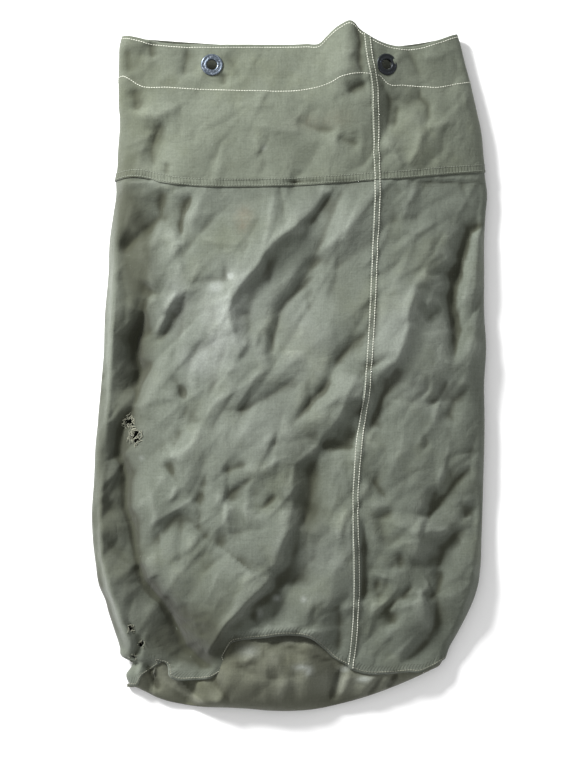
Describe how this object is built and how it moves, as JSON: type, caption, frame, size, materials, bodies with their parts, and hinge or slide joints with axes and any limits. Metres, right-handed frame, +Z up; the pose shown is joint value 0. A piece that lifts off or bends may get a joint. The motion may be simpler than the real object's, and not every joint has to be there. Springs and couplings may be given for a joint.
{
  "type": "duffel bag",
  "caption": "Empty cylindrical canvas duffel bag lying flat: panelled tube with a seamed yoke, sewn-in round bottom and open mouth with cord eyelets.",
  "frame": {"origin": "middle of the bag's outline, on the surface it lies on", "axes": "+Z up from that surface, +Y towards the mouth, +X to the right looking down on the front"},
  "size_m": [0.504, 0.858, 0.0615],
  "materials": {
    "body_canvas": "matte, worn",
    "yoke_canvas": "matte, worn",
    "base_canvas": "matte, worn",
    "facing_canvas": "matte, worn",
    "pale_thread": "matte, worn",
    "green_thread": "matte, worn",
    "eyelet_steel": "worn black lacquer over steel",
    "washer_steel": "dull black"
  },
  "bodies": {
    "root": {"body_panel_left": "body_canvas", "body_panel_right": "body_canvas", "yoke_panel_left": "yoke_canvas", "yoke_panel_right": "yoke_canvas", "mouth_facing": "facing_canvas", "base_panel": "base_canvas", "mouth_edge_stitches": "pale_thread", "hem_stitches": "pale_thread", "yoke_stitches_upper": "green_thread", "yoke_stitches_lower": "green_thread", "base_stitches": "pale_thread", "front_seam_stitches_left": "pale_thread", "front_seam_stitches_right": "pale_thread", "back_seam_stitches_left": "pale_thread", "back_seam_stitches_right": "pale_thread", "eyelet_front_left": "eyelet_steel", "eyelet_washer_front_left": "washer_steel", "eyelet_front_right": "eyelet_steel", "eyelet_washer_front_right": "washer_steel", "eyelet_back_left": "eyelet_steel", "eyelet_washer_back_left": "washer_steel", "eyelet_back_right": "eyelet_steel", "eyelet_washer_back_right": "washer_steel"}
  },
  "joints": []
}
